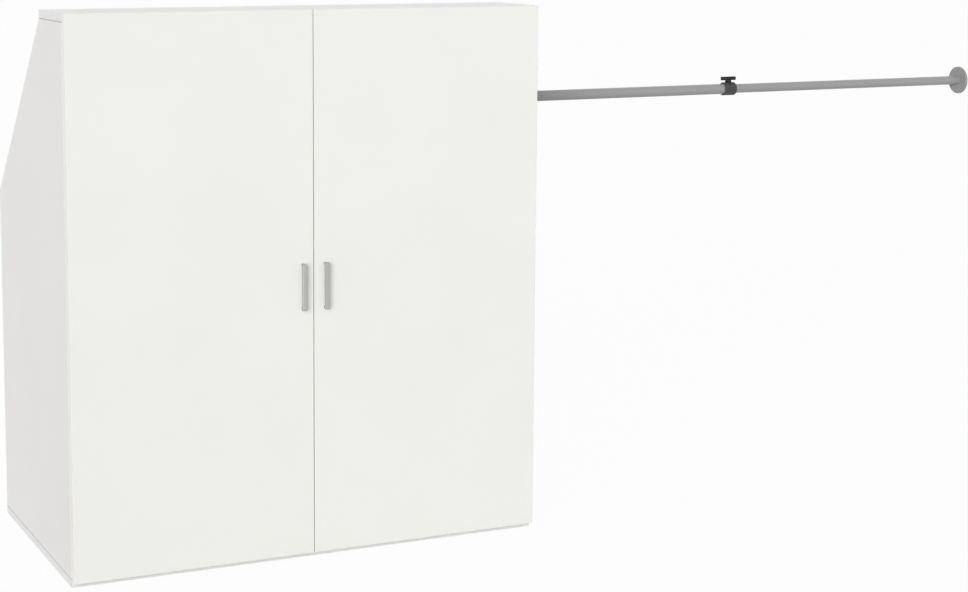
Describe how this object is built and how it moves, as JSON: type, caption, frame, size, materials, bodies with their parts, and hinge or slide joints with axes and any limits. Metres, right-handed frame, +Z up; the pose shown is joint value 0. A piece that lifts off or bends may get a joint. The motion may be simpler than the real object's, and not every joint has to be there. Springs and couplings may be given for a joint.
{
  "type": "sloped ceiling wardrobe",
  "caption": "Low white wardrobe with flush doors on concealed hinges, a back cut away for a sloping ceiling, and a telescopic clothes rail reaching sideways to a wall.",
  "frame": {"origin": "centre of the underside of the bottom board, on the floor", "axes": "+X to the right towards the wall flange, +Y to the rear, +Z up"},
  "size_m": [2.452, 0.615, 1.2],
  "materials": {
    "white_board": "white melamine, satin",
    "white_back": "hardboard, white lacquer inside, bare brown fibre outside",
    "beech": "plain beech",
    "zinc": "die-cast zinc, dull",
    "screw_steel": "zinc-plated steel",
    "nickel_steel": "nickel-plated pressed steel",
    "handle_metal": "satin anodised aluminium",
    "bumper_clear": "clear soft plastic",
    "grey_tube": "grey painted steel, satin",
    "black_plastic": "black plastic",
    "brass_pad": "plain brass"
  },
  "bodies": {
    "carcass": {"left_side_panel": "white_board", "right_side_panel": "white_board", "bottom_board": "white_board", "top_board": "white_board", "lower_back_panel": "white_back", "sloped_back_panel": "white_back", "knee_batten": "white_board", "top_batten": "white_board", "cam_discs": "zinc", "cam_bolts": "zinc", "wooden_dowels": "beech", "hanging_rail": "grey_tube", "rail_socket_screws": "screw_steel", "cabinet_flange": "grey_tube", "cabinet_flange_screws": "screw_steel", "outer_rail_tube": "grey_tube", "clamp_sleeve": "black_plastic", "left_hinge_plates": "nickel_steel", "left_hinge_plate_screws": "screw_steel", "left_hinge_arms": "nickel_steel", "left_hinge_arm_pins": "nickel_steel", "left_rail_socket": "grey_tube", "right_hinge_plates": "nickel_steel", "right_hinge_plate_screws": "screw_steel", "right_hinge_arms": "nickel_steel", "right_hinge_arm_pins": "nickel_steel", "right_rail_socket": "grey_tube"},
    "left_outer_links": {"left_hinge_outer_links": "nickel_steel"},
    "left_inner_links": {"left_hinge_inner_links": "nickel_steel"},
    "left_door": {"left_door_panel": "white_board", "left_handle": "handle_metal", "left_handle_screws": "screw_steel", "left_door_bumpers": "bumper_clear", "left_hinge_cups": "nickel_steel", "left_hinge_cup_pins": "nickel_steel", "left_hinge_cup_screws": "screw_steel"},
    "right_outer_links": {"right_hinge_outer_links": "nickel_steel"},
    "right_inner_links": {"right_hinge_inner_links": "nickel_steel"},
    "right_door": {"right_door_panel": "white_board", "right_handle": "handle_metal", "right_handle_screws": "screw_steel", "right_door_bumpers": "bumper_clear", "right_hinge_cups": "nickel_steel", "right_hinge_cup_pins": "nickel_steel", "right_hinge_cup_screws": "screw_steel"},
    "sliding_rail": {"inner_rail_tube": "grey_tube", "wall_flange": "grey_tube"},
    "clamp_pad": {"pressure_pad": "brass_pad"},
    "clamp_screw": {"wing_screw": "black_plastic"}
  },
  "joints": [
    {"name": "left_outer_link_turn", "type": "hinge", "parent": "carcass", "child": "left_outer_links", "pos_m": [-0.5088, -0.2858, 0.60575], "axis": [0, 0, -1], "range_deg": [-18.1, 0]},
    {"name": "left_inner_link_turn", "type": "hinge", "parent": "carcass", "child": "left_inner_links", "pos_m": [-0.492, -0.282, 0.60575], "axis": [0, 0, -1], "range_deg": [-19.7, 0]},
    {"name": "left_door_swing", "type": "hinge", "parent": "left_outer_links", "child": "left_door", "pos_m": [-0.5306, -0.3013, 0.60575], "axis": [0, 0, -1], "range_deg": [0, 113.05]},
    {"name": "right_outer_link_turn", "type": "hinge", "parent": "carcass", "child": "right_outer_links", "pos_m": [0.5088, -0.2858, 0.60575], "axis": [0, 0, 1], "range_deg": [-18.1, 0]},
    {"name": "right_inner_link_turn", "type": "hinge", "parent": "carcass", "child": "right_inner_links", "pos_m": [0.492, -0.282, 0.60575], "axis": [0, 0, 1], "range_deg": [-19.7, 0]},
    {"name": "right_door_swing", "type": "hinge", "parent": "right_outer_links", "child": "right_door", "pos_m": [0.5306, -0.3013, 0.60575], "axis": [0, 0, 1], "range_deg": [0, 113.05]},
    {"name": "rail_slide", "type": "slide", "parent": "carcass", "child": "sliding_rail", "axis": [1, 0, 0], "range_m": [-0.5, 0.06]},
    {"name": "pad_lift", "type": "slide", "parent": "carcass", "child": "clamp_pad", "axis": [0, 0, 1], "range_m": [0, 0.001]},
    {"name": "wing_turn", "type": "hinge", "parent": "clamp_pad", "child": "clamp_screw", "pos_m": [1.196, -0.082, 0.996], "axis": [0, 0, 1], "range_deg": [0, 360]}
  ],
  "couplings": [
    {"joint": "left_outer_link_turn", "follows": "left_door_swing", "ratio": -0.15966},
    {"joint": "left_inner_link_turn", "follows": "left_door_swing", "ratio": -0.17395},
    {"joint": "right_outer_link_turn", "follows": "right_door_swing", "ratio": -0.15966},
    {"joint": "right_inner_link_turn", "follows": "right_door_swing", "ratio": -0.17395},
    {"joint": "pad_lift", "follows": "wing_turn", "m_per_rad": 0.000159}
  ]
}
